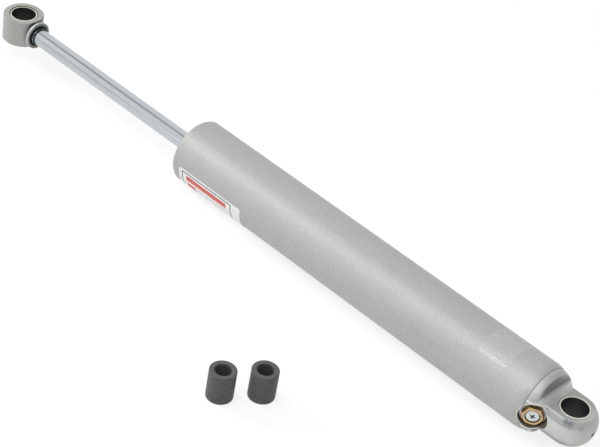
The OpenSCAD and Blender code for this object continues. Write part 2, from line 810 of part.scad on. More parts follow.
body_tube();
end_cap();
end_cap_o_ring();
cap_eye_bush();
gas_valve_body();
gas_valve_o_ring();
gas_valve_rubber();
gas_valve_screw();
seal_head();
seal_head_o_ring();
rod_guide_bush();
rod_seal();
rod_seal_washer();
seal_head_circlip();
dust_cap();
rod_wiper();
paper_label();
clear_film();
piston_ring();
piston_rod();
rod_eye();
rod_eye_bush();
rod_jam_ring();
rebound_bumper();
rebound_stop_plate();
compression_shims();
piston();
rebound_shims();
rebound_washer();
piston_nut();
floating_piston();
floating_piston_o_ring();
floating_piston_band();
mount_sleeve_a();
mount_sleeve_b();
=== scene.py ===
# %% [markdown]
# # A monotube gas shock absorber, dressed in Blender
#
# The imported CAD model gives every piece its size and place. This script puts the looks on it: finishes
# that are worked out by node maths, and finer turned pieces where a plain CAD solid would look too sharp.
# Lengths are in metres. X runs along the shock from the cap eye to the rod eye, and Z runs along both eye
# bores.

# %% Load the frame
import math
import json

import bmesh
import bpy
from mathutils import Matrix, Vector


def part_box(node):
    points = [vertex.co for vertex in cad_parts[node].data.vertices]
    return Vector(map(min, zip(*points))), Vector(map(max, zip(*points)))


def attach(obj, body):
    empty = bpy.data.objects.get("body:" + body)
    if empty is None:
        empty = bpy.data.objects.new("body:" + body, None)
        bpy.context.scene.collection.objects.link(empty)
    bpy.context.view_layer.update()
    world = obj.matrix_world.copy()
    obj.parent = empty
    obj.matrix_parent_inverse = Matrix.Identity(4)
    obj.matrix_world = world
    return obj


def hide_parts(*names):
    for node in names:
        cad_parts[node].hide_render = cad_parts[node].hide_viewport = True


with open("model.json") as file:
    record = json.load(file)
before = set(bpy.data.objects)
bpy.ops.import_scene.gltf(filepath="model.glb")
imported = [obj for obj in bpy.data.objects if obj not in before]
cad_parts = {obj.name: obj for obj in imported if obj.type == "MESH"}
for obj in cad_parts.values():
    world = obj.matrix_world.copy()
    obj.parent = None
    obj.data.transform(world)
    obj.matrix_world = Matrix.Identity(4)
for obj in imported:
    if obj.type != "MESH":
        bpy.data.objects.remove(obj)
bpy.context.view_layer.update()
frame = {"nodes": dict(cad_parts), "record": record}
nodes = frame["nodes"]
MM = 0.001

# %% [markdown]
# ## Sizes that the pieces share
#
# A finer piece takes its place from the CAD solid that it stands for, so it still fits when the CAD model
# changes. The helper gives the middle and the lengths of a solid's box.

# %% Measure a solid


def measure(node):
    """Middle and lengths of a CAD solid at rest."""
    low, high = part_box(node)
    return (low + high) / 2, high - low


tube_middle, tube_size = measure("body_tube")
TUBE_R = tube_size.z / 2
TUBE_START = tube_middle.x - tube_size.x / 2
TUBE_END = tube_middle.x + tube_size.x / 2
ROD_EYE_X = measure("rod_eye_bush")[0].x
FLOOR_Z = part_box("mount_sleeve_a")[0].z
print(f"tube radius {TUBE_R / MM:.2f} mm, from {TUBE_START / MM:.1f} to {TUBE_END / MM:.1f} mm")
print(f"floor at {FLOOR_Z / MM:.2f} mm")

# %% [markdown]
# The gas valve leans away from square, so its pieces are worked out along an axis of their own. It starts
# on the shock's centre line, and heights along it are measured from there.

# %% Lay out the valve's axis
VALVE_X = 0.027
VALVE_LEAN = math.radians(32.7)
VALVE_AXIS = Vector((-math.sin(VALVE_LEAN), math.cos(VALVE_LEAN), 0))
VALVE_SIDE = Vector((math.cos(VALVE_LEAN), math.sin(VALVE_LEAN), 0))
VALVE_FACE = TUBE_R - 0.002
POCKET_FLOOR = VALVE_FACE - 0.0035
POCKET_R = 0.009
SCREW_R = 0.0041
print("valve axis points to", [round(v, 3) for v in VALVE_AXIS])

# %% [markdown]
# ## The camera
#
# The picture is taken from beside the cap eye and from above, with a long lens and a little roll. A camera
# is easiest to place by three directions: where its right side, its top and its back point. Those
# directions are the columns of its matrix, so no angles have to be turned one after the other.

# %% Place the camera
EYE_POINT = Vector((-0.36511, 0.76048, 0.73302))
RIGHT = Vector((-0.70897, -0.68991, 0.14622))
DOWN = Vector((-0.50998, 0.35834, -0.78199))
AHEAD = Vector((0.48711, -0.62898, -0.60589))
HALF_PIXEL = 0.5 / 600


def new_object(name, data):
    """Puts a camera, a lamp or a mesh in the scene, at the origin."""
    made = bpy.data.objects.new(name, data)
    bpy.context.scene.collection.objects.link(made)
    return made


lens = bpy.data.cameras.new("camera")
lens.sensor_width = 36
lens.lens = 112.74
lens.shift_x = -HALF_PIXEL
lens.shift_y = HALF_PIXEL
lens.clip_start = 0.05
lens.clip_end = 20
camera = new_object("camera", lens)
columns = Matrix((RIGHT, -DOWN, -AHEAD)).transposed()
camera.matrix_world = Matrix.Translation(EYE_POINT) @ columns.to_4x4()
bpy.context.scene.camera = camera
print("camera looks along", [round(v, 3) for v in AHEAD])

# %% [markdown]
# ## Sums on node sockets
#
# A finish such as "darker near the edge, with fine rings" is a short sum, but in a node tree each plus or
# times is a node of its own. The class below wraps a socket so that a sum in Python adds those nodes.

# %% Wrap a socket


class Flow:
    """A value that changes from place to place, as the output of a node."""

    def __init__(self, wiring, socket):
        self.wiring, self.socket = wiring, socket

    def __add__(self, other):
        return self.wiring.maths("ADD", self, other)

    def __sub__(self, other):
        return self.wiring.maths("SUBTRACT", self, other)

    def __rsub__(self, other):
        return self.wiring.maths("SUBTRACT", other, self)

    def __mul__(self, other):
        return self.wiring.maths("MULTIPLY", self, other)

    def __truediv__(self, other):
        return self.wiring.maths("DIVIDE", self, other)

    def __rtruediv__(self, other):
        return self.wiring.maths("DIVIDE", other, self)

    __radd__ = __add__
    __rmul__ = __mul__


print("sockets can be summed")

# %% [markdown]
# The next class holds a tree. Its method `node` adds every other kind of node: it sets the node's settings
# first and then its sockets. The same class serves the finishes, the shapes that are made by a rule, and
# the world's light. Most masks are soft steps: `band` rises, `fade` falls, and `between` does both.

# %% Wire a tree


class Wiring:
    """A tree of nodes."""

    def __init__(self, tree):
        self.tree = tree

    def node(self, kind, settings=None, sockets=None, output=0):
        """Adds a node with its settings, then its sockets, and gives one of its outputs."""
        made = self.tree.nodes.new(kind)
        for key, value in (settings or {}).items():
            setattr(made, key, value)
        for key, value in (sockets or {}).items():
            self.feed(made.inputs[key], value)
        return Flow(self, made.outputs[output])

    def feed(self, socket, value):
        """Links a value that changes to a socket, or writes a plain one there."""
        if isinstance(value, Flow):
            self.tree.links.new(value.socket, socket)
        elif socket.type == "RGBA":
            socket.default_value = (*value[:3], 1)
        else:
            socket.default_value = value

    def maths(self, operation, *values):
        """One Math node on one, two or three values."""
        return self.node("ShaderNodeMath", {"operation": operation}, dict(enumerate(values)))

    def largest(self, *values):
        found = values[0]
        for value in values[1:]:
            found = self.maths("MAXIMUM", found, value)
        return found

    def reach(self, *sides):
        """Length of an arm with these sides, such as the distance from an axis."""
        squares = [side * side for side in sides]
        return self.maths("SQRT", sum(squares[1:], squares[0]))

    def band(self, value, low, high, top=1.0, base=0.0):
        """base below low, top above high and a soft step between."""
        wanted = {"Value": value, "From Min": low, "From Max": high, "To Min": base, "To Max": top}
        return self.node("ShaderNodeMapRange", {"interpolation_type": "SMOOTHSTEP"}, wanted)

    def fade(self, value, low, high):
        """1 below low, 0 above high and a soft step between."""
        return self.band(value, low, high, top=0.0, base=1.0)

    def between(self, value, low, high, soft):
        """1 between low and high, with an edge that is soft wide on both sides."""
        return self.band(value, low - soft, low) * self.fade(value, high, high + soft)

    def mix(self, share, first, second):
        """A colour between first and second."""
        return self.node("ShaderNodeMix", {"data_type": "RGBA"}, {0: share, 6: first, 7: second}, output=2)

    def parts(self, vector):
        """X, Y and Z of a vector."""
        split = self.node("ShaderNodeSeparateXYZ", None, {0: vector}).socket.node
        return [Flow(self, part) for part in split.outputs]

    def round_x(self, along, radius, angle):
        """The point at a place along X, and at a radius and an angle round it."""
        sides = {0: along, 1: radius * self.maths("COSINE", angle), 2: radius * self.maths("SINE", angle)}
        return self.node("ShaderNodeCombineXYZ", None, sides)

    def rays(self, *kinds):
        """For each kind of ray, 1 where it is the one that looks and 0 elsewhere."""
        paths = self.node("ShaderNodeLightPath").socket.node.outputs
        return [Flow(self, paths[f"Is {kind} Ray"]) for kind in kinds]


print("trees can be wired")

# %% [markdown]
# A finish is a tree that ends in a Principled shader. Patterns read Object coordinates, so they stay on
# the piece when it moves. The method `glaze` lays coats of colour over each other, each held in place by a
# mask. The method `pocket` is here because the valve's pocket cuts through both the tube and the cap.

# %% Build a finish


class Finish(Wiring):
    """The nodes of one material."""

    def __init__(self, name, color, metallic, roughness):
        self.material = bpy.data.materials.new(name)
        self.material.use_nodes = True
        super().__init__(self.material.node_tree)
        self.shader = self.tree.nodes["Principled BSDF"]
        self.set({"Base Color": color, "Metallic": metallic, "Roughness": roughness})

    def set(self, values):
        for key, value in values.items():
            self.feed(self.shader.inputs[key], value)

    def point(self):
        """The point on the surface in Object coordinates, as one vector."""
        return self.node("ShaderNodeTexCoord", output="Object")

    def place(self):
        """X, Y and Z of the point on the surface, in metres."""
        return self.parts(self.point())

    def noise(self, size, stretch=(1, 1, 1), detail=2.0, roughness=0.5):
        """Cloudy pattern from 0 to 1 whose patches are about as wide as size, in metres."""
        scale = [1 / (size * s) for s in stretch]
        scaled = self.node("ShaderNodeMapping", None, {"Vector": self.point(), "Scale": scale})
        wanted = {"Vector": scaled, "Scale": 1.0, "Detail": detail, "Roughness": roughness}
        return self.node("ShaderNodeTexNoise", {"noise_dimensions": "3D"}, wanted)

    def tool_rings(self, value, per_metre):
        """Uneven rings along a value, as a cutting tool leaves them."""
        wanted = {"W": value, "Scale": per_metre}
        return self.node("ShaderNodeTexNoise", {"noise_dimensions": "1D"}, wanted)

    def tones(self, pattern, dark, light, low=0.3, high=0.7):
        """A colour that goes from dark to light with a pattern."""
        return self.mix(self.band(pattern, low, high), dark, light)

    def sheen(self, pattern, smooth, dull, edge=0.3):
        """Roughness that goes from smooth to dull with a pattern."""
        self.set({"Roughness": self.band(pattern, edge, 1 - edge, top=dull, base=smooth)})

    def glaze(self, color, *coats):
        """Lays coats of a mask and a colour over a colour, one after the other."""
        for mask, coat in coats:
            color = self.mix(mask, color, coat)
        return color

    def from_valve(self):
        """Height along the valve's axis and distance from it."""
        x, y, z = self.place()
        height = (x - VALVE_X) * VALVE_AXIS.x + y * VALVE_AXIS.y
        sideways = (x - VALVE_X) * VALVE_SIDE.x + y * VALVE_SIDE.y
        return height, self.reach(sideways, z)

    def pocket(self, below):
        """A colour with the valve's pocket worked in: wall of painted shade and brass reflection, bright
        floor, deburred rim with a painted highlight, painted shade in the corner.
        """
        height, away = self.from_valve()
        from_floor, from_wall = height - POCKET_FLOOR, away - POCKET_R
        near_side = self.band(height, 0.010, 0.011)
        inside = near_side * self.fade(from_wall, 0.00008, 0.00028)
        # The rim is deburred bright metal with a painted highlight on it, weaker higher up.
        upper = self.band(self.place()[2], 0.003, 0.007, top=0.5, base=0.75)
        rim = upper * near_side * self.between(from_wall, 0.00015, 0.0005, 0.00015)
        # The wall is painted dark brown, as shade and a reflection of the brass.
        wall_shade_and_reflection = inside * self.band(from_wall, -0.0006, -0.0002)
        floor = inside * self.fade(from_floor, 0.0002, 0.0005)
        # Painted shade, nearly black, in the corner between the pocket's wall and floor.
        recess_shade = inside * self.band(from_wall, -0.0010, -0.0005) * self.fade(from_floor, 0.0002, 0.0014)
        return self.glaze(
            below, (rim, (0.86, 0.87, 0.86)), (floor, (0.66, 0.67, 0.66)),
            (wall_shade_and_reflection * 0.9, (0.29, 0.26, 0.20)), (recess_shade, (0.09, 0.055, 0.028)),
        )

    def rounded_normal(self, radius):
        """The surface's direction, with its edges rounded by a radius."""
        return self.node("ShaderNodeBevel", {"samples": 6}, {"Radius": radius})

    def edge_light(self, radius):
        """1 on an edge and 0 on a flat, from how far a rounded normal turns away."""
        true = self.node("ShaderNodeNewGeometry", output="Normal")
        pair = {0: self.rounded_normal(radius), 1: true}
        same = self.node("ShaderNodeVectorMath", {"operation": "DOT_PRODUCT"}, pair, output="Value")
        return self.band(1 - same, 0.0, 0.25)

    def relief(self, height, depth, round_edges=0.0):
        """Bumps from a height of 0 to 1, on edges that are rounded a little."""
        wanted = {"Height": height, "Distance": depth, "Strength": 1.0}
        if round_edges:
            wanted["Normal"] = self.rounded_normal(round_edges)
        self.set({"Normal": self.node("ShaderNodeBump", None, wanted)})


def dress(finish, *names):
    """Puts a finish on CAD solids in place of their plain one."""
    for name in names:
        materials = nodes[name].data.materials
        materials.clear()
        materials.append(finish.material)


print("finishes are built from nodes")

# %% [markdown]
# ## Silver paint on the body tube
#
# The tube is coated in a flat silver. Close up it isn't even: the shade wanders by a few hundredths, and
# the sanding under the paint shows as fine lines round the tube. Noise that is stretched across the tube
# gives those lines. The flakes in the paint make it half metallic, which draws the soft bright line along
# the tube. Its two end edges hold some dirt.

# %% Tube paint
paint = Finish("silver_paint", (0.45, 0.455, 0.445), 0.55, 0.46)
grain = paint.noise(0.00040, detail=2.0, roughness=0.5)
patches = paint.noise(0.006, stretch=(1.6, 1, 1))
clouds = paint.noise(0.05, stretch=(2.5, 1, 1))
brushed = paint.noise(0.00038, stretch=(1, 2, 2))
shade = 0.5 * brushed + 0.4 * grain + 0.05 * patches + 0.05 * clouds
silver = paint.tones(shade, (0.355, 0.36, 0.35), (0.515, 0.52, 0.51), 0.34, 0.66)
x = paint.place()[0]
at_start = paint.fade(x, TUBE_START + 0.0002, TUBE_START + 0.0005)
at_end = paint.band(x, TUBE_END - 0.0005, TUBE_END - 0.0002)
edged = paint.mix(paint.largest(at_start, at_end) * 0.4, silver, (0.12, 0.12, 0.115))
paint.set({"Base Color": paint.pocket(edged)})
paint.sheen(brushed, 0.40, 0.54, edge=0.25)
paint.relief(grain, 0.00003, round_edges=0.0003)
dress(paint, "body_tube")
print("tube painted")

# %% [markdown]
# ## Satin aluminium on the end cap
#
# The cap is milled and turned, then blasted to a soft satin. Its shades are laid as coats, as a painter
# lays glazes. First comes the satin itself, then on the eye a darker band of painted shade round it, with
# a lighter band of painted reflection under it.

# %% Satin and painted bands on the cap
cap = Finish("satin_alloy", (0.52, 0.525, 0.51), 0.7, 0.40)
cap_grain = cap.noise(0.0009, detail=3.0, roughness=0.6)
cap_clouds = cap.noise(0.012)
x, y, z = cap.place()
from_middle = cap.reach(z)
on_eye = cap.fade(x, 0.0095, 0.0115)
above_edge = cap.band(from_middle, 0.0048, 0.0060)
# On the eye: a darker band of painted shade, and below it a lighter band of painted reflection.
dark_painted_band = on_eye * above_edge * cap.band(x, -0.0110, -0.0045)
light_painted_band = on_eye * (1 - above_edge) * cap.band(x, -0.0155, -0.0080)
satin = cap.tones(0.6 * cap_grain + 0.4 * cap_clouds, (0.45, 0.455, 0.44), (0.545, 0.55, 0.535))
banded = cap.glaze(
    satin, (light_painted_band * 0.4, (0.70, 0.705, 0.68)), (dark_painted_band * 0.75, (0.33, 0.335, 0.33)),
)
print("cap's eye ground")

# %% [markdown]
# Each flat ends in a lens-shaped wall. Painted shade darkens it, most of all in its corner, but less at
# the tip beside the valve, which is painted lighter instead. The flat in front of the wall is painted
# brighter. Painted shade makes the turned ring behind it a little darker again, and dirt sits in the seam
# to the tube.

# %% Shade the wall behind the cap's flats
WALL_X = 0.01704
# Painted shade on the wall, weaker at its tip and strongest in its corner.
on_wall = cap.fade(x, WALL_X, WALL_X + 0.0001) * cap.band(x, 0.0158, 0.0166)
on_wall = on_wall * cap.band(from_middle, 0.0100, 0.0112)
wall_tip = cap.band(y, 0.0080, 0.0135)
wall_shade = on_wall * cap.band(from_middle, 0.0110, 0.0200, top=0.45, base=0.65) * (1 - wall_tip * 0.9)
in_corner = cap.between(x, 0.0160, WALL_X, 0.0012) * cap.between(from_middle, 0.0097, 0.0114, 0.0004)
corner_shade = in_corner * 0.45 * (1 - wall_tip)
seam_dirt = cap.band(x, TUBE_START - 0.0003, TUBE_START - 0.0001) * 0.4
# Painted shade on the turned ring.
ring_shade = cap.band(x, 0.0172, 0.0176) * 0.11
near_wall = cap.band(x, 0.0120, 0.0152) * cap.band(from_middle, 0.0088, 0.0091)
near_wall = near_wall * cap.fade(from_middle, 0.0098, 0.0104)
# Painted light on the flat in front of the wall and on the wall's tip.
painted_brightening = cap.largest(near_wall * 0.85, on_wall * wall_tip * 0.7)
all_shade = cap.largest(wall_shade, corner_shade, seam_dirt, ring_shade)
walled = cap.glaze(banded, (painted_brightening, (0.80, 0.805, 0.79)), (all_shade, (0.17, 0.172, 0.165)))
print("wall shaded")

# %% [markdown]
# Small blue-grey spots of painted reflection darken the eye. Edges are worn brighter and smoother than
# faces and carry a painted highlight too; a Bevel node finds them and also rounds them in the shading. One
# line of painted highlight is drawn along the flat, and painted shade darkens the gap round the bush, most
# on its side towards +Y.

# %% Painted reflections, edges and gap shade of the cap
# Painted dark blue-grey reflections, each with its middle, its reach and its strength.
DARK_REFLECTIONS = (
    ((-0.0034, 0.0131, 0.0086), 0.0026, 1.0),
    ((-0.0060, 0.0122, 0.0084), 0.0026, 1.0),
    ((0.0103, 0.0134, 0.0087), 0.0013, 1.0),
    ((-0.0118, 0.0086, 0.0066), 0.0030, 0.35),
)
reflection_spots = []
for middle, spread, strength in DARK_REFLECTIONS:
    gap = cap.reach(x - middle[0], y - middle[1], z - middle[2])
    reflection_spots.append(strength * cap.fade(gap, spread * 0.25, spread))
# A painted highlight line along the flat, and edges worn bright that also carry a painted highlight.
highlight_line = on_eye * cap.between(from_middle, 0.0092, 0.0094, 0.00012) * cap.band(x, -0.0030, -0.0010)
edges = cap.largest(cap.edge_light(0.0007), highlight_line * 0.7)
# Painted shade in the gap round the bush, strongest towards +Y.
bush_gap = cap.between(cap.reach(x, y), 0.0094, 0.0098, 0.0002)
gap_shade = bush_gap * cap.band(y, -0.0050, 0.0030, top=0.85, base=0.15)
edges_and_painted_light = cap.glaze(
    walled, (cap.largest(*reflection_spots) * 0.75, (0.17, 0.19, 0.22)),
    (edges * 0.8, (0.80, 0.81, 0.80)), (gap_shade, (0.10, 0.08, 0.05)),
)
cap.set({"Base Color": cap.pocket(edges_and_painted_light)})
cap.set({"Roughness": cap.band(cap_grain, 0.25, 0.75, top=0.54, base=0.44) - edges * 0.08})
cap.relief(cap_grain, 0.000025, round_edges=0.0005)
dress(cap, "end_cap")
print("end cap finished,", len(reflection_spots), "smudges")

# %% [markdown]
# ## Plated forging on the rod eye
#
# The rod eye is forged, blasted and plated grey. Its skin is coarser than the cap's, with small pits. A
# Voronoi pattern gives round pits of one size, and a threshold on a noise keeps them from lying
# everywhere.

# %% Skin of the rod eye
PITS_PER_METRE = 900.0

eye = Finish("plated_forging", (0.40, 0.405, 0.385), 0.55, 0.48)
skin = eye.noise(0.0010, detail=4.0, roughness=0.7)
spread = eye.noise(0.004)
cells = eye.node("ShaderNodeTexVoronoi", {"feature": "F1"}, {
    "Vector": eye.point(), "Scale": PITS_PER_METRE,
})
pits = eye.fade(cells, 0.12, 0.32) * eye.band(spread, 0.5, 0.62)
plated = eye.tones(skin, (0.36, 0.365, 0.345), (0.47, 0.475, 0.455))
pitted = eye.mix(pits * 0.35, plated, (0.18, 0.18, 0.17))
print("rod eye plated")

# %% [markdown]
# The bevel round the eye and its other edges are darkened with painted shade. The flange towards the rod
# has a painted highlight on its rim, and near-black painted shadow fills the crevice behind it, the recess
# round the rod and the gap round the bush. The ragged edge of that shadow comes from adding a little noise
# to the distances before they are compared.

# %% Painted shade and highlight on the rod eye
x, y, z = eye.place()
from_rod_axis = eye.reach(y, z)
from_bore_axis = eye.reach(x - ROD_EYE_X, y)
from_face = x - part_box("rod_eye")[0].x
# Painted shade on the bevel and the other edges of the eye.
on_bevel = eye.band(from_bore_axis, 0.0135, 0.0137) * eye.band(eye.reach(z), 0.0089, 0.0091)
on_bevel = on_bevel * eye.band(x, ROD_EYE_X - 0.004, ROD_EYE_X + 0.008, top=0.75, base=0.35)
shaded_edges = eye.largest(eye.edge_light(0.0006) * 0.3, on_bevel)
ragged = eye.band(spread, 0.3, 0.7, top=0.0003, base=-0.0003)
# Painted shadow, near black, behind the flange, in the recess round the rod and in the gap round the bush.
behind_flange = eye.band(from_face, 0.0017, 0.0020) * eye.fade(from_face + ragged, 0.0030, 0.0048)
crevice = behind_flange * eye.fade(from_rod_axis + ragged, 0.0102, 0.0116) * eye.band(z, -0.0050, 0.0010)
# A painted highlight on the flange's rim.
flange_rim_highlight = eye.fade(from_face, 0.0015, 0.0018) * eye.band(from_rod_axis, 0.0096, 0.0099)
inner_face = eye.fade(from_face, 0.0, 0.0003) * eye.fade(from_rod_axis, 0.0092, 0.0095)
recess = eye.fade(from_rod_axis, 0.0078, 0.0080) * eye.fade(from_face, 0.003, 0.0032)
bush_gap = eye.between(from_bore_axis, 0.0094, 0.0101, 0.0002)
recess_shade = eye.largest(crevice, recess, bush_gap * 0.85)
edges_and_painted_light = eye.glaze(
    pitted, (shaded_edges, (0.13, 0.13, 0.12)), (flange_rim_highlight * 0.6, (0.66, 0.66, 0.63)),
    (inner_face * 0.8, (0.17, 0.165, 0.15)), (recess_shade, (0.02, 0.017, 0.013)),
)
eye.set({"Base Color": edges_and_painted_light})
eye.sheen(skin, 0.52, 0.66, edge=0.25)
eye.relief(skin - pits * 0.8, 0.00004, round_edges=0.0003)
dress(eye, "rod_eye")
print("rod eye worn")

# %% [markdown]
# ## Hard chrome on the rod
#
# A damper rod is chromed and then ground, so it mirrors the room in long stripes. Chrome reflects a little
# over half the light and is slightly blue. Grinding leaves fine rings round the rod, which blur the mirror
# a little, and the seals draw faint streaks along it.

# %% Rod chrome
chrome = Finish("hard_chrome", (0.56, 0.585, 0.61), 1.0, 0.16)
rings = chrome.noise(0.0016, stretch=(0.12, 1, 1))
streaks = chrome.noise(0.0011, stretch=(70, 1, 1), detail=3.0)
chrome.set({"Base Color": chrome.tones(streaks, (0.49, 0.52, 0.55), (0.58, 0.60, 0.615), 0.32, 0.68)})
chrome.sheen(rings, 0.13, 0.20)
chrome.relief(rings, 0.000002)
dress(chrome, "piston_rod")
print("rod chromed")

# %% [markdown]
# ## Turned brass on the gas valve
#
# The valve body is turned from hexagon brass. The tool leaves fine rings on its outer face, centred on the
# valve's own axis, which leans away from the shock's. The distance from that axis is worked out from the
# coordinates. The hexagon's sides are darkened with painted shade, and the gap round the screw is painted
# nearly black as shadow.

# %% Valve brass
RINGS_PER_METRE = 4200.0

brass = Finish("turned_brass", (0.62, 0.42, 0.20), 0.85, 0.30)
height, valve_r = brass.from_valve()
tool_marks = brass.tool_rings(valve_r, RINGS_PER_METRE)
tarnish = brass.noise(0.003, detail=3.0)
golden = brass.tones(tool_marks, (0.55, 0.36, 0.17), (0.72, 0.50, 0.25))
browned = brass.band(tarnish, 0.45, 0.75)
# Painted shade on the hexagon's sides, and a nearly black painted shadow in the gap round the screw.
sides = brass.fade(height, VALVE_FACE - 0.0008, VALVE_FACE - 0.0003) * brass.band(valve_r, 0.0050, 0.0056)
shaded_side_brass = brass.tones(tarnish, (0.24, 0.135, 0.055), (0.44, 0.27, 0.12))
screw_gap_shade = brass.between(valve_r, SCREW_R - 0.0002, SCREW_R + 0.00055, 0.0001)
aged = brass.glaze(
    golden, (browned * 0.5, (0.34, 0.21, 0.10)), (sides * 0.85, shaded_side_brass),
    (screw_gap_shade, (0.03, 0.014, 0.007)),
)
brass.set({"Base Color": aged})
brass.sheen(tarnish, 0.24, 0.38)
brass.relief(tool_marks, 0.000004, round_edges=0.00025)
dress(brass, "gas_valve_body")
print("valve turned from brass")

# %% [markdown]
# ## Finishes of the small and inner metal pieces
#
# The pieces inside the tube are seen only when the shock is taken apart, but each still has its own
# finish. Most are turned, so one recipe with rings round the shock's axis serves them all, with another
# colour each time.

# %% Turned metal
SHEEN_SWING = 0.06


def turned_metal(name, dark, light, metallic, roughness, ring=0.0005):
    """Metal with fine tool rings round the shock's axis."""
    finish = Finish(name, light, metallic, roughness)
    x, y, z = finish.place()
    marks = finish.tool_rings(finish.reach(y, z) + x, 1 / ring)
    haze = finish.noise(0.006)
    finish.set({"Base Color": finish.tones(0.6 * marks + 0.4 * haze, dark, light)})
    finish.sheen(marks, roughness - SHEEN_SWING, roughness + SHEEN_SWING)
    finish.relief(marks, 0.000004, round_edges=0.0002)
    return finish


inner_alloy = turned_metal("turned_alloy", (0.50, 0.51, 0.52), (0.64, 0.65, 0.66), 0.9, 0.32)
plain_steel = turned_metal("turned_steel", (0.34, 0.35, 0.37), (0.48, 0.49, 0.51), 0.95, 0.34)
shim_steel = turned_metal("spring_steel", (0.30, 0.33, 0.38), (0.46, 0.49, 0.54), 1.0, 0.22, ring=0.0003)
guide_bronze = turned_metal("guide_bronze", (0.27, 0.20, 0.12), (0.42, 0.33, 0.20), 0.8, 0.40)
dress(inner_alloy, "seal_head", "piston", "floating_piston")
dress(plain_steel, "rod_seal_washer", "seal_head_circlip", "piston_nut")
dress(plain_steel, "rebound_stop_plate", "rebound_washer")
dress(shim_steel, "compression_shims", "rebound_shims")
dress(guide_bronze, "rod_guide_bush")
print("inner metal pieces finished")

# %% [markdown]
# ## Rubber and ring plastic
#
# Rubber seals are smooth and nearly black, with a dull bloom where they aren't rubbed. The piston ring and
# the wear band are a plastic filled with carbon, a shade greyer, with short fibres that show as fine
# streaks.

# %% Rubber and plastic
rubber = Finish("seal_rubber", (0.02, 0.02, 0.022), 0.0, 0.50)
bloom = rubber.noise(0.0025, detail=3.0)
rubber.set({"Base Color": rubber.tones(bloom, (0.014, 0.014, 0.016), (0.045, 0.045, 0.047), 0.4, 0.75)})
rubber.sheen(bloom, 0.42, 0.62)
rubber.relief(bloom, 0.00001, round_edges=0.0002)

carbon = Finish("ring_plastic", (0.03, 0.033, 0.04), 0.0, 0.45)
fibres = carbon.noise(0.0008, stretch=(5, 1, 1), detail=3.0)
carbon.set({"Base Color": carbon.tones(fibres, (0.02, 0.022, 0.027), (0.06, 0.065, 0.075), 0.35, 0.7)})
carbon.relief(fibres, 0.000008, round_edges=0.0002)

seal_rings = [name for name in nodes if "o_ring" in name]
dress(rubber, *seal_rings, "gas_valve_rubber", "rod_seal", "rod_wiper", "rebound_bumper")
dress(carbon, "piston_ring", "floating_piston_band")
print("seals and rings finished, of them", len(seal_rings), "round seal rings")

# %% [markdown]
# ## A tree that turns a profile, as a lathe does
#
# Bushes, sleeves, rings and caps are all one profile swept round an axis. Geometry Nodes can do that by
# rule: a grid has a column for each step round and a row for each point of the profile, and each of its
# points is moved to the profile's point, turned by the column's angle. Merging the points that meet closes
# the seam and the poles.

# %% Start and end a shape's tree


def shape_tree(name, inputs, output):
    """A Geometry Nodes tree, the identifiers of its named inputs, and what each input gives."""
    tree = bpy.data.node_groups.new(name, "GeometryNodeTree")
    keys = {}
    for label, kind in inputs.items():
        made = tree.interface.new_socket(label, in_out="INPUT", socket_type="NodeSocket" + kind)
        keys[label] = made.identifier
    tree.interface.new_socket(output, in_out="OUTPUT", socket_type="NodeSocketGeometry")
    wiring = Wiring(tree)
    outputs = wiring.node("NodeGroupInput").socket.node.outputs
    return wiring, keys, {label: Flow(wiring, outputs[label]) for label in keys}


def end_tree(wiring, shape, finish):
    """Ends a tree in a real mesh that wears its finish."""
    real = wiring.node("GeometryNodeRealizeInstances", None, {0: shape})
    coated = wiring.node("GeometryNodeSetMaterial", None, {"Geometry": real, "Material": finish})
    wiring.feed(wiring.tree.nodes.new("NodeGroupOutput").inputs[0], coated)
    print(wiring.tree.name, "has", len(wiring.tree.nodes), "nodes")


print("shape trees can be started and ended")

# %% Build the turning tree
WELD = 0.000002
turning, turning_keys, given = shape_tree(
    "turned_piece", {"Profile": "Geometry", "Steps round": "Int", "Finish": "Material"}, "Piece"
)
profile_points = turning.node("GeometryNodeAttributeDomainSize", {"component": "MESH"}, {
    0: given["Profile"],
})
blank = turning.node("GeometryNodeMeshGrid", None, {
    "Size X": 1.0, "Size Y": 1.0, "Vertices X": given["Steps round"] + 1.0, "Vertices Y": profile_points,
})
index = turning.node("GeometryNodeInputIndex")
column = turning.maths("FLOOR", (index + 0.5) / profile_points)
turn = column / given["Steps round"] * math.tau
picked = turning.node("GeometryNodeSampleIndex", {"data_type": "FLOAT_VECTOR", "domain": "POINT"}, {
    "Geometry": given["Profile"],
    "Value": turning.node("GeometryNodeInputPosition"),
    "Index": index - column * profile_points,
})
along, radius, _ = turning.parts(picked)
swung = turning.round_x(along, radius, turn)
shaped = turning.node("GeometryNodeSetPosition", None, {"Geometry": blank, "Position": swung})
closed = turning.node("GeometryNodeMergeByDistance", None, {"Geometry": shaped, "Distance": WELD})
end_tree(turning, turning.node("GeometryNodeSetShadeSmooth", None, {"Geometry": closed}), given["Finish"])

# %% [markdown]
# ## Profiles with rounded corners
#
# No real edge is sharp, and a small round catches a thin line of light. Each corner of a profile is given
# a radius, and the helper replaces it with an arc. One more point on each side of the arc keeps the flat
# beside it flat when the surface is shaded smooth.

# %% Round a profile
GUARD_SHARE = 0.3


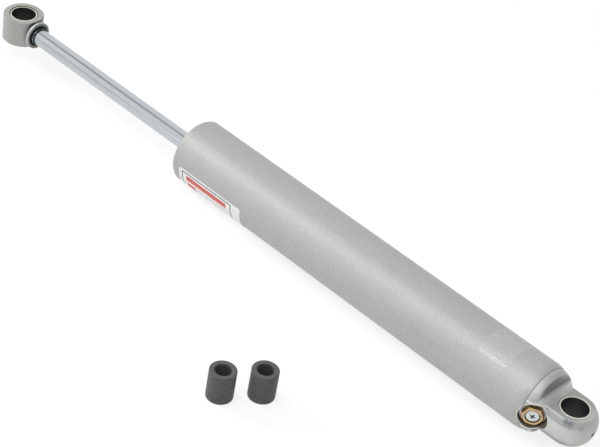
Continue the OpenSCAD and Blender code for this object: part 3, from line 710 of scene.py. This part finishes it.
def rounded(corners, closed=True, steps=5):
    """Points along a profile of (along, radius, rounding) corners, each corner replaced by an arc."""
    points = []
    count = len(corners)
    for i, (along, radius, rounding) in enumerate(corners):
        here = Vector((along, radius))
        at_end = not closed and i in (0, count - 1)
        if at_end or rounding <= 0:
            points.append(here)
            continue
        before = (Vector(corners[i - 1][:2]) - here).normalized()
        after = (Vector(corners[(i + 1) % count][:2]) - here).normalized()
        half = before.angle(after) / 2
        back = rounding / math.tan(half)
        centre = here + (before + after).normalized() * rounding / math.sin(half)
        first = here + before * back - centre
        sweep = (here + after * back - centre).angle_signed(first)
        points.append(here + before * (back + rounding * GUARD_SHARE))
        for step in range(steps + 1):
            angle = sweep * step / steps
            turned_arm = Vector((
                first.x * math.cos(angle) - first.y * math.sin(angle),
                first.x * math.sin(angle) + first.y * math.cos(angle),
            ))
            points.append(centre + turned_arm)
        points.append(here + after * (back + rounding * GUARD_SHARE))
    return points + points[:1] if closed else points


square = [(0, 1, 0.1), (0, 2, 0.1), (1, 2, 0.1), (1, 1, 0.1)]
print("a rounded square has", len(rounded(square)), "points")

# %% [markdown]
# A modifier shows a shape without keeping it. Baking takes what it shows as a plain mesh and removes the
# modifier, because the other tools want a mesh. The piece is made along X and then laid on its own axis by
# moving the mesh itself, so the object stays at the origin as every CAD node does.

# %% Bake and turn a piece


def bake(piece, modifier):
    """Turns what a modifier shows into a plain mesh, and takes the modifier away."""
    shown = piece.evaluated_get(bpy.context.evaluated_depsgraph_get())
    mesh = bpy.data.meshes.new_from_object(shown)
    piece.modifiers.remove(modifier)
    piece.data = mesh
    mesh.name = piece.name


def measure_volume(mesh):
    """Volume inside a closed mesh in cubic millimetres; below zero if its faces point inwards."""
    shape = bmesh.new()
    shape.from_mesh(mesh)
    volume = shape.calc_volume(signed=True)
    shape.free()
    return volume / MM ** 3


def axes(along, place):
    """Matrix that lays a piece made along X on another axis, from a place onwards."""
    along = Vector(along).normalized()
    aside = Vector((0, 1, 0)) if abs(along.y) < 0.5 else Vector((0, 0, 1))
    first = (aside - along * aside.dot(along)).normalized()
    second = along.cross(first)
    return Matrix.Translation(place) @ Matrix((along, first, second)).transposed().to_4x4()


def turned(name, corners, along, place, finish, closed=True, steps=96):
    """A piece turned from a profile round the axis through place."""
    mesh = bpy.data.meshes.new(name)
    mesh.from_pydata([(p.x, p.y, 0) for p in rounded(corners, closed)], [], [])
    piece = new_object(name, mesh)
    lathe = piece.modifiers.new("turning", "NODES")
    lathe.node_group = turning.tree
    lathe[turning_keys["Steps round"]] = steps
    lathe[turning_keys["Finish"]] = finish.material
    bake(piece, lathe)
    piece.data.transform(axes(along, place))
    print(f"{name}: {len(piece.data.polygons)} faces, {measure_volume(piece.data):.0f} cubic mm")
    return piece


print("pieces can be turned and baked")

# %% [markdown]
# ## The eye bushes
#
# Each eye has a pressed-in bush: a cream-plated steel back with a black low-friction lining rolled into
# its bore. The lining is told from the back by its distance from the bore's axis, so one finish colours
# both.

# %% Bush finish


def bush_finish(name, middle_x, lining_r):
    """Black lining up to a radius round the bore's axis, and cream plating past it."""
    finish = Finish(name, (0.70, 0.66, 0.55), 0.6, 0.35)
    x, y, _ = finish.place()
    away = finish.reach(x - middle_x, y)
    back_r = lining_r + 0.00012
    back = finish.band(away, lining_r, back_r)
    patchiness = finish.noise(0.0012, stretch=(1, 1, 6), detail=3.0)
    cream = finish.tones(patchiness, (0.72, 0.69, 0.58), (0.90, 0.87, 0.77))
    lining = finish.tones(patchiness, (0.006, 0.006, 0.006), (0.02, 0.02, 0.02), 0.3, 0.8)
    finish.set({"Base Color": finish.mix(back, lining, cream), "Metallic": back * 0.4})
    finish.set({"Roughness": finish.band(away, lining_r, back_r, top=0.34, base=0.5)})
    finish.relief(patchiness, 0.000006)
    return finish


print("bush finish ready")

# %% Turn the bushes
LINING = 0.0002
RIM_SHARE = 0.16


def bush(node, bore_r, body):
    """A bush with its bore's radius, on the body that it is pressed into."""
    middle, size = measure(node)
    outer, half = size.x / 2, size.z / 2
    rim = (outer - bore_r) * RIM_SHARE
    corners = [(-half, bore_r, rim), (-half, outer, rim), (half, outer, rim), (half, bore_r, rim)]
    finish = bush_finish(node + "_finish", middle.x, bore_r + LINING)
    piece = turned(node + "_turned", corners, (0, 0, 1), middle, finish)
    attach(piece, body)
    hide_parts(node)


bore_radius = {mount["name"]: mount["dims"]["r_mm"] * MM for mount in frame["record"]["mounts"]}
bush("cap_eye_bush", bore_radius["cap_eye_bore"], "barrel")
bush("rod_eye_bush", bore_radius["rod_eye_bore"], "rod")

# %% [markdown]
# ## The mounting sleeves
#
# The two sleeves that go through the eyes are cut from thick tube and coated nearly black. The coating is
# matt with a faint mottle, and the top face is painted a little lighter, where light from above falls on
# it. A low specular level, the same all over, is set on the shader itself.

# %% Turn the sleeves
coat = Finish("dark_coat", (0.05, 0.05, 0.05), 0.0, 0.60)
coat.set({"Specular IOR Level": 0.2})
mottle = coat.noise(0.0022, detail=4.0, roughness=0.6)
speck = coat.noise(0.0007, detail=2.0)
# The top face is painted a little lighter, as light from above falls on it.
lit_top_face = coat.band(coat.place()[2], FLOOR_Z + 0.0203, FLOOR_Z + 0.0206)
dark = coat.tones(0.7 * mottle + 0.3 * speck, (0.070, 0.072, 0.070), (0.115, 0.116, 0.112), 0.32, 0.68)
coat.set({"Base Color": coat.mix(lit_top_face * 0.4, dark, (0.12, 0.122, 0.12))})
coat.sheen(mottle, 0.46, 0.62)
coat.relief(0.6 * mottle + 0.4 * speck, 0.00003)
for letter in "ab":
    middle, size = measure("mount_sleeve_" + letter)
    bore_r = bore_radius[f"sleeve_{letter}_bore"]
    outer, half = size.x / 2, size.z / 2
    corners = [
        (-half, bore_r, 0.0005), (-half, outer, 0.0006), (half, outer, 0.0006), (half, bore_r, 0.0005),
    ]
    sleeve = turned("sleeve_" + letter + "_turned", corners, (0, 0, 1), middle, coat)
    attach(sleeve, "sleeve_" + letter)
    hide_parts("mount_sleeve_" + letter)

# %% [markdown]
# ## The dust cap and the jam ring
#
# The dust cap closes the tube's rod end. Only the rim of its flange shows past the paint, in a pale plated
# steel. Its profile runs from the skirt that fits the tube, out to the flange, in to the wiper's seat and
# back along the inside.

# %% Turn the dust cap
pale = turned_metal("pale_plate", (0.38, 0.36, 0.30), (0.50, 0.48, 0.41), 0.5, 0.5)
middle, size = measure("dust_cap")
face, flange_r = middle.x + size.x / 2, size.y / 2
flange, skirt_end = face - 0.001, face - 0.0055
seat, seat_back = face - 0.004, face - 0.0052
WALL, LIP_R = 0.0012, 0.0066
skirt_r = TUBE_R - 0.00253
seat_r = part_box("rod_wiper")[1].y + 0.00003
corners = [
    (skirt_end, skirt_r, 0.0002), (flange, skirt_r, 0.0001), (flange, flange_r, 0.0003),
    (face, flange_r, 0.0003), (face, seat_r, 0.0002), (seat, seat_r, 0.0),
    (seat, LIP_R, 0.0002), (seat_back, LIP_R, 0.0002), (seat_back, seat_r + WALL, 0.0002),
    (flange, seat_r + WALL, 0.0001), (flange, skirt_r - WALL, 0.0001), (skirt_end, skirt_r - WALL, 0.0002),
]
dust_cap = turned("dust_cap_turned", corners[::-1], (1, 0, 0), (0, 0, 0), pale, steps=128)
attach(dust_cap, "barrel")
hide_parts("dust_cap")

# %% [markdown]
# The jam ring sits where the rod enters the rod eye. In the dark recess it is painted mostly dark with
# shade, with a broken, thin, bright crescent of painted glints on its blue-grey plating, and painted shade
# along its outer edge.

# %% Turn the jam ring
teal_plate = turned_metal("teal_plate", (0.30, 0.40, 0.43), (0.55, 0.64, 0.66), 0.9, 0.22)
middle, size = measure("rod_jam_ring")
outer, inner, half = size.y / 2, 0.00503, size.x / 2
_, y, z = teal_plate.place()
# Painted shade along the outer edge, and painted glints on dark painted shade elsewhere.
shaded_outer_edge = teal_plate.band(teal_plate.reach(y, z), outer - 0.0004, outer - 0.00025)
patchiness = teal_plate.noise(0.0015, detail=3.0)
glints_in_shade = teal_plate.tones(patchiness, (0.045, 0.06, 0.065), (0.32, 0.45, 0.48), 0.46, 0.62)
teal_plate.set({"Base Color": teal_plate.mix(shaded_outer_edge, (0.045, 0.04, 0.03), glints_in_shade)})
corners = [(-half, inner, 0.0003), (-half, outer, 0.0004), (half, outer, 0.0002), (half, inner, 0.0002)]
jam_ring = turned("jam_ring_turned", corners, (1, 0, 0), middle, teal_plate)
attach(jam_ring, "rod")
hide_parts("rod_jam_ring")

# %% [markdown]
# ## The valve's closing screw
#
# The screw's head is zinc-plated and slightly domed, with a cross recess. The head is turned like the
# other round pieces. A Boolean then cuts the recess with two crossed bars that narrow towards their foot,
# as the punch does.

# %% Zinc plate
zinc = Finish("zinc_plate", (0.72, 0.75, 0.75), 0.6, 0.28)
height, away = zinc.from_valve()
plate = zinc.noise(0.0016, detail=3.0)
plated = zinc.tones(plate, (0.62, 0.65, 0.65), (0.74, 0.77, 0.77))
# Painted shade makes the cross recess nearly black.
cross_recess_shade = zinc.fade(height, VALVE_FACE - 0.0002, VALVE_FACE - 0.00012) * zinc.fade(away, 0.0021, 0.0023)
zinc.set({"Base Color": zinc.mix(cross_recess_shade * 0.93, plated, (0.03, 0.034, 0.034))})
zinc.sheen(plate, 0.30, 0.42)
zinc.relief(plate, 0.000004)
print("zinc plate mixed")

# %% Shape a bar of the cross
BAR_STEPS = 16
BAR_TOP = 0.0004
FOOT_SHARE = 0.55


def cross_bar(turn, length, width, depth):
    """Bar with round ends whose foot is narrower than its top, across the screw's face."""
    shape = bmesh.new()
    rings = []
    for level, share in ((BAR_TOP, 1.0), (-depth, FOOT_SHARE)):
        ring = []
        for step in range(BAR_STEPS):
            angle = math.tau * step / BAR_STEPS
            shift = math.copysign((length - width) / 2, math.cos(angle))
            across = (math.cos(angle) * width / 2 + shift) * share
            ring.append(shape.verts.new((level, across, math.sin(angle) * width / 2 * share)))
        rings.append(ring)
    top, foot = rings
    for i in range(BAR_STEPS):
        shape.faces.new((top[i - 1], top[i], foot[i], foot[i - 1]))
    shape.faces.new(top)
    shape.faces.new(foot)
    bmesh.ops.recalc_face_normals(shape, faces=shape.faces)
    mesh = bpy.data.meshes.new("cross_bar")
    shape.to_mesh(mesh)
    shape.free()
    mesh.transform(Matrix.Translation((VALVE_FACE, 0, 0)) @ Matrix.Rotation(turn, 4, "X"))
    mesh.materials.append(zinc.material)
    return new_object("cross_bar", mesh)


print("bars of", BAR_STEPS, "sides can be shaped")

# %% Turn the screw and cut its cross
SCREW_FOOT = VALVE_FACE - 0.0114
SCREW_SEAT = VALVE_FACE - 0.0022
SHANK_R = 0.00195
DOME, DOME_R = 0.00035, SCREW_R - 0.0005
DOME_SHARE, DOME_STEPS = 0.8, 5
CROSS_TURN = math.radians(-24)
corners = [
    (SCREW_FOOT, 0, 0), (SCREW_FOOT, SHANK_R, 0.0003), (SCREW_SEAT, SHANK_R, 0),
    (SCREW_SEAT, SCREW_R, 0.0002), (VALVE_FACE - DOME, SCREW_R, 0.0003),
]
for step in range(DOME_STEPS + 1):
    reach = DOME_R * (1 - step / DOME_STEPS)
    corners.append((VALVE_FACE - DOME * (reach / SCREW_R) ** 2 * DOME_SHARE, reach, 0))
screw = turned("gas_valve_screw_turned", corners, (1, 0, 0), (0, 0, 0), zinc, closed=False)
for turn in (CROSS_TURN, CROSS_TURN + math.pi / 2):
    bar = cross_bar(turn, length=0.0041, width=0.00105, depth=0.0013)
    cut = screw.modifiers.new("cross", "BOOLEAN")
    cut.operation = "DIFFERENCE"
    cut.solver = "EXACT"
    cut.object = bar
    bake(screw, cut)
    bpy.data.objects.remove(bar)
valve_axes = Matrix((VALVE_AXIS, VALVE_SIDE, (0, 0, -1))).transposed().to_4x4()
screw.data.transform(Matrix.Translation((VALVE_X, 0, 0)) @ valve_axes)
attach(screw, "barrel")
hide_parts("gas_valve_screw")
print("screw cut:", len(screw.data.polygons), "faces,", round(measure_volume(screw.data), 1), "cubic mm")

# %% [markdown]
# ## A tree that wraps a thin sheet round the tube
#
# The label and the film are flat sheets, glued round the tube. The tree starts from a flat grid. It first
# draws the four corners in to a round: a point that lies past both straight stretches moves towards the
# corner's centre by the share that turns a square into a disc. Then it bends the sheet round the tube.
# Extruding the grid by the sheet's thickness and joining it with a turned-over copy closes it.

# %% Round the sheet's corners
NEVER_ZERO = 0.0000001
SHEET_SIZES = (
    "Length", "Width", "Corner radius", "Place along", "Middle angle", "Inner radius", "Thickness",
    "Mesh step",
)
wrapping, wrapping_keys, given = shape_tree(
    "wrapped_sheet", {**{name: "Float" for name in SHEET_SIZES}, "Finish": "Material"}, "Sheet"
)


def grid_points(length):
    """Number of grid points along one side of the sheet."""
    return wrapping.maths("CEIL", length / given["Mesh step"])


def straight_part(value, length):
    """The part of a coordinate that lies on the straight stretch between two corners, and the rest."""
    limit = length * 0.5 - given["Corner radius"]
    kept = wrapping.maths("MINIMUM", wrapping.largest(value, limit * -1.0), limit)
    return kept, value - kept


flat = wrapping.node("GeometryNodeMeshGrid", None, {
    "Size X": given["Length"], "Size Y": given["Width"],
    "Vertices X": grid_points(given["Length"]), "Vertices Y": grid_points(given["Width"]),
})
along, around, _ = wrapping.parts(wrapping.node("GeometryNodeInputPosition"))
along_kept, along_rest = straight_part(along, given["Length"])
round_kept, round_rest = straight_part(around, given["Width"])
longer = wrapping.largest(wrapping.maths("ABSOLUTE", along_rest), wrapping.maths("ABSOLUTE", round_rest))
draw_in = longer / (wrapping.reach(along_rest, round_rest) + NEVER_ZERO)
print("corners drawn in")

# %% Bend and close the sheet
angle = given["Middle angle"] - (round_kept + round_rest * draw_in) / given["Inner radius"]
shifted = along_kept + along_rest * draw_in + given["Place along"]
bent = wrapping.round_x(shifted, given["Inner radius"], angle)
skin = wrapping.node("GeometryNodeSetPosition", None, {"Geometry": flat, "Position": bent})
raised = wrapping.node("GeometryNodeExtrudeMesh", {"mode": "FACES"}, {
    "Mesh": skin, "Offset Scale": given["Thickness"], "Individual": False,
})
back = wrapping.node("GeometryNodeFlipFaces", None, {"Mesh": skin})
both = wrapping.node("GeometryNodeJoinGeometry")
for layer in (raised, back):
    wrapping.feed(both.socket.node.inputs[0], layer)
sealed = wrapping.node("GeometryNodeMergeByDistance", None, {"Geometry": both, "Distance": WELD})
end_tree(wrapping, sealed, given["Finish"])

# %% Wrap a sheet
GLUE = 0.00005
GLUED_R = TUBE_R + GLUE
MESH_STEP = 0.0005


def wrapped(node, start, length, top_angle, arc, finish, thickness, corner_r):
    """A thin sheet glued round the tube, from start onwards and from its top angle downwards."""
    piece = new_object(node + "_wrapped", bpy.data.meshes.new(node))
    wrap = piece.modifiers.new("wrapping", "NODES")
    wrap.node_group = wrapping.tree
    values = {
        "Length": length, "Width": arc * GLUED_R, "Corner radius": corner_r,
        "Place along": start + length / 2, "Middle angle": top_angle - arc / 2, "Inner radius": GLUED_R,
        "Thickness": thickness, "Mesh step": MESH_STEP, "Finish": finish.material,
    }
    for name, value in values.items():
        wrap[wrapping_keys[name]] = value
    bake(piece, wrap)
    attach(piece, "barrel")
    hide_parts(node)
    print(f"{piece.name}: {len(piece.data.polygons)} faces, {measure_volume(piece.data):.1f} cubic mm")


def arc_down(finish, top_angle):
    """Distance along the tube's round from an angle down to the point."""
    _, y, z = finish.place()
    return (top_angle - finish.maths("ARCTAN2", z, y)) * GLUED_R


print(f"sheets can be wrapped at a radius of {GLUED_R / MM:.2f} mm")

# %% [markdown]
# ## The label
#
# The label is white vinyl with a plain printed pattern: a thin dark frame, a red stripe along the shock, a
# red block and three grey rules. Where a print lies is worked out on the sheet itself, from the place
# along the tube and the arc down from the label's upper edge, so the pattern bends with the sheet.

# %% Print and wrap the label
label_middle, label_size = measure("paper_label")
LABEL_START = label_middle.x - label_size.x / 2
LABEL_TOP, LABEL_ARC = math.radians(1.5), math.radians(69.5)
INK_EDGE = 0.05 * MM

label = Finish("printed_label", (0.78, 0.80, 0.80), 0.0, 0.38)
label_along = label.place()[0] - LABEL_START
label_down = arc_down(label, LABEL_TOP)


def block(low_along, high_along, low_down, high_down):
    """1 inside a printed block, in millimetres along the label and down from its upper edge."""
    within_length = label.between(label_along, low_along * MM, high_along * MM, INK_EDGE)
    return within_length * label.between(label_down, low_down * MM, high_down * MM, INK_EDGE)


dark_lines = block(8.4, 54.6, 1.4, 25.0) - block(9.2, 53.8, 2.2, 24.2)
reds = label.largest(block(13, 50.6, 3.6, 7.6), block(43, 50.6, 10, 17.6))
rules = label.largest(*[block(13, 39.6, down, down + 0.3) for down in (10.2, 13.6, 17)])
paper = label.noise(0.004, detail=3.0)
ink = label.noise(0.0006, stretch=(1, 4, 4), detail=2.0)
ground = label.tones(paper, (0.74, 0.765, 0.765), (0.82, 0.84, 0.84))
red = label.tones(ink, (0.58, 0.065, 0.05), (0.74, 0.115, 0.09))
printed = label.glaze(
    ground, (rules * 0.55, (0.16, 0.16, 0.17)), (reds, red), (dark_lines * 0.95, (0.02, 0.02, 0.024)),
)
label.set({"Base Color": printed})
label.sheen(paper, 0.32, 0.44)
label.relief(paper, 0.000008)
wrapped(
    "paper_label", LABEL_START, label_size.x, LABEL_TOP, LABEL_ARC, label,
    thickness=0.00012, corner_r=0.0018,
)

# %% [markdown]
# ## The clear film
#
# A patch of clear film is glued near the end cap. Clear film shows mostly by its cut edge, which catches
# light, and that light is painted here as whiter, less clear film. So its middle lets nearly everything
# through, a narrow border lets less, and along the lower edge, where it has lifted a little, two lines of
# painted highlight show brightest.

# %% Wrap the film
film_middle, film_size = measure("clear_film")
FILM_START = film_middle.x - film_size.x / 2
FILM_TOP, FILM_ARC = math.radians(140), math.radians(92)
BORDER, SOFT = 0.00035, 0.0001
low_edge = FILM_ARC * GLUED_R

film = Finish("clear_film", (0.93, 0.94, 0.94), 0.0, 0.16)
film_down = arc_down(film, FILM_TOP)
inner = film.between(film.place()[0] - FILM_START, BORDER, film_size.x - BORDER, SOFT)
inner = inner * film.between(film_down, BORDER, low_edge - BORDER, SOFT)
highlight_lines = film.between(film_down, low_edge - 0.0015, low_edge - 0.0011, SOFT)
highlight_lines = highlight_lines + film.band(film_down, low_edge - 0.0005, low_edge - 0.0003)
ripple = film.noise(0.005, stretch=(1, 0.4, 0.4), detail=2.0)
film.set({"Alpha": film.largest(0.26 - 0.20 * inner, highlight_lines * 0.62)})
film.sheen(ripple, 0.10, 0.24)
film.relief(ripple, 0.00003)
wrapped(
    "clear_film", FILM_START, film_size.x, FILM_TOP, FILM_ARC, film,
    thickness=0.00008, corner_r=0.0015,
)

# %% [markdown]
# ## Floor, world and lamps
#
# The picture is cut out on white, so the floor and the world look white to the camera and nearly white to
# mirrors, while the light that they throw on the object stays at a plain level. The floor is part paint
# and part glow: the glow makes it white, and the paint still takes the object's shadow.

# %% Lay the floor
FLOOR_X, FLOOR_REACH = 0.25, 4.0
slab = bmesh.new()
bmesh.ops.create_grid(slab, x_segments=2, y_segments=2, size=FLOOR_REACH)
floor_mesh = bpy.data.meshes.new("floor")
slab.to_mesh(floor_mesh)
slab.free()
floor_mesh.transform(Matrix.Translation((FLOOR_X, 0, FLOOR_Z)))
floor = new_object("floor", floor_mesh)

ground = Finish("floor_white", (0.8, 0.8, 0.8), 0.0, 0.9)
camera_ray, mirror_ray, glass_ray = ground.rays("Camera", "Glossy", "Transmission")
seen = ground.largest(camera_ray, 0.85 * mirror_ray, glass_ray)
matt = ground.node("ShaderNodeBsdfDiffuse", None, {"Color": (0.8, 0.8, 0.8)})
shadow_share = ground.node("ShaderNodeBsdfDiffuse", None, {"Color": (0.26, 0.26, 0.26)})
glow = ground.node("ShaderNodeEmission", None, {"Color": (1, 1, 1), "Strength": 0.76})
white = ground.node("ShaderNodeAddShader", None, {0: shadow_share, 1: glow})
surface = ground.node("ShaderNodeMixShader", None, {0: seen, 1: matt, 2: white})
ground.feed(ground.tree.nodes["Material Output"].inputs["Surface"], surface)
floor_mesh.materials.append(ground.material)
print("floor laid at", round(FLOOR_Z / MM, 2), "mm")

# %% [markdown]
# Polished metal mirrors the world, so what it mirrors has dark gaps between soft boxes that run along the
# shock. They draw the stripes on the chromed rod, in a faint blue, and the side towards the cap's end is
# dimmer. Each gap has its middle and its half width as angles round the shock, in degrees, and a depth.

# %% Light the world
GAPS = ((5, 16, 0.45), (86, 20, 0.60), (175, 45, 0.10))
AMBIENT, AMBIENT_TILT = 0.62, 0.15

world = bpy.data.worlds.new("studio")
bpy.context.scene.world = world
world.use_nodes = True
sky = Wiring(world.node_tree)
heading = sky.parts(sky.node("ShaderNodeTexCoord", output="Generated"))
up_angle = sky.maths("ARCTAN2", heading[2], heading[1])
lit = sky.band(heading[0], -0.1, 0.4, base=0.72)
for middle, width, depth in GAPS:
    away = sky.maths("ABSOLUTE", up_angle - math.radians(middle))
    lit = lit * sky.band(away, 0.0, math.radians(width), base=1 - depth)
camera_ray, mirror_ray, glass_ray = sky.rays("Camera", "Glossy", "Transmission")
mirrored = sky.largest(mirror_ray, glass_ray)
ambient = AMBIENT + AMBIENT_TILT * heading[0]
backdrop = sky.tree.nodes["Background"].inputs
sky.feed(backdrop["Strength"], sky.largest(ambient + mirrored * (lit - ambient), camera_ray))
sky.feed(backdrop["Color"], sky.mix(mirrored * (1 - lit), (1, 1, 1), (0.88, 0.99, 1.08)))
print("world lit, with", len(GAPS), "dark gaps for mirrors")

# %% Hang the lamps
LIT_POINT = Vector((0.22, 0, 0))


def soft_box(name, direction, distance, size, power):
    """A rectangular lamp that faces the middle of the tube."""
    lamp = bpy.data.lights.new(name, "AREA")
    lamp.shape = "RECTANGLE"
    lamp.size, lamp.size_y = size
    lamp.energy = power
    holder = new_object(name, lamp)
    away = Vector(direction).normalized()
    holder.location = LIT_POINT + away * distance
    holder.rotation_mode = "QUATERNION"
    holder.rotation_quaternion = (-away).to_track_quat("-Z", "Y")


soft_box("key_light", (0.90, 0.235, 0.37), 4.0, (1.4, 1.4), 85)
soft_box("top_light", (-0.08, 0.44, 0.88), 1.6, (1.3, 1.6), 9)
soft_box("side_light", (0.25, 0.97, 0.10), 1.9, (1.6, 0.7), 2.5)
print("lamps hung:", [light.name for light in bpy.data.lights])

# %% Set the view and finish
bpy.context.scene.view_settings.view_transform = "Standard"
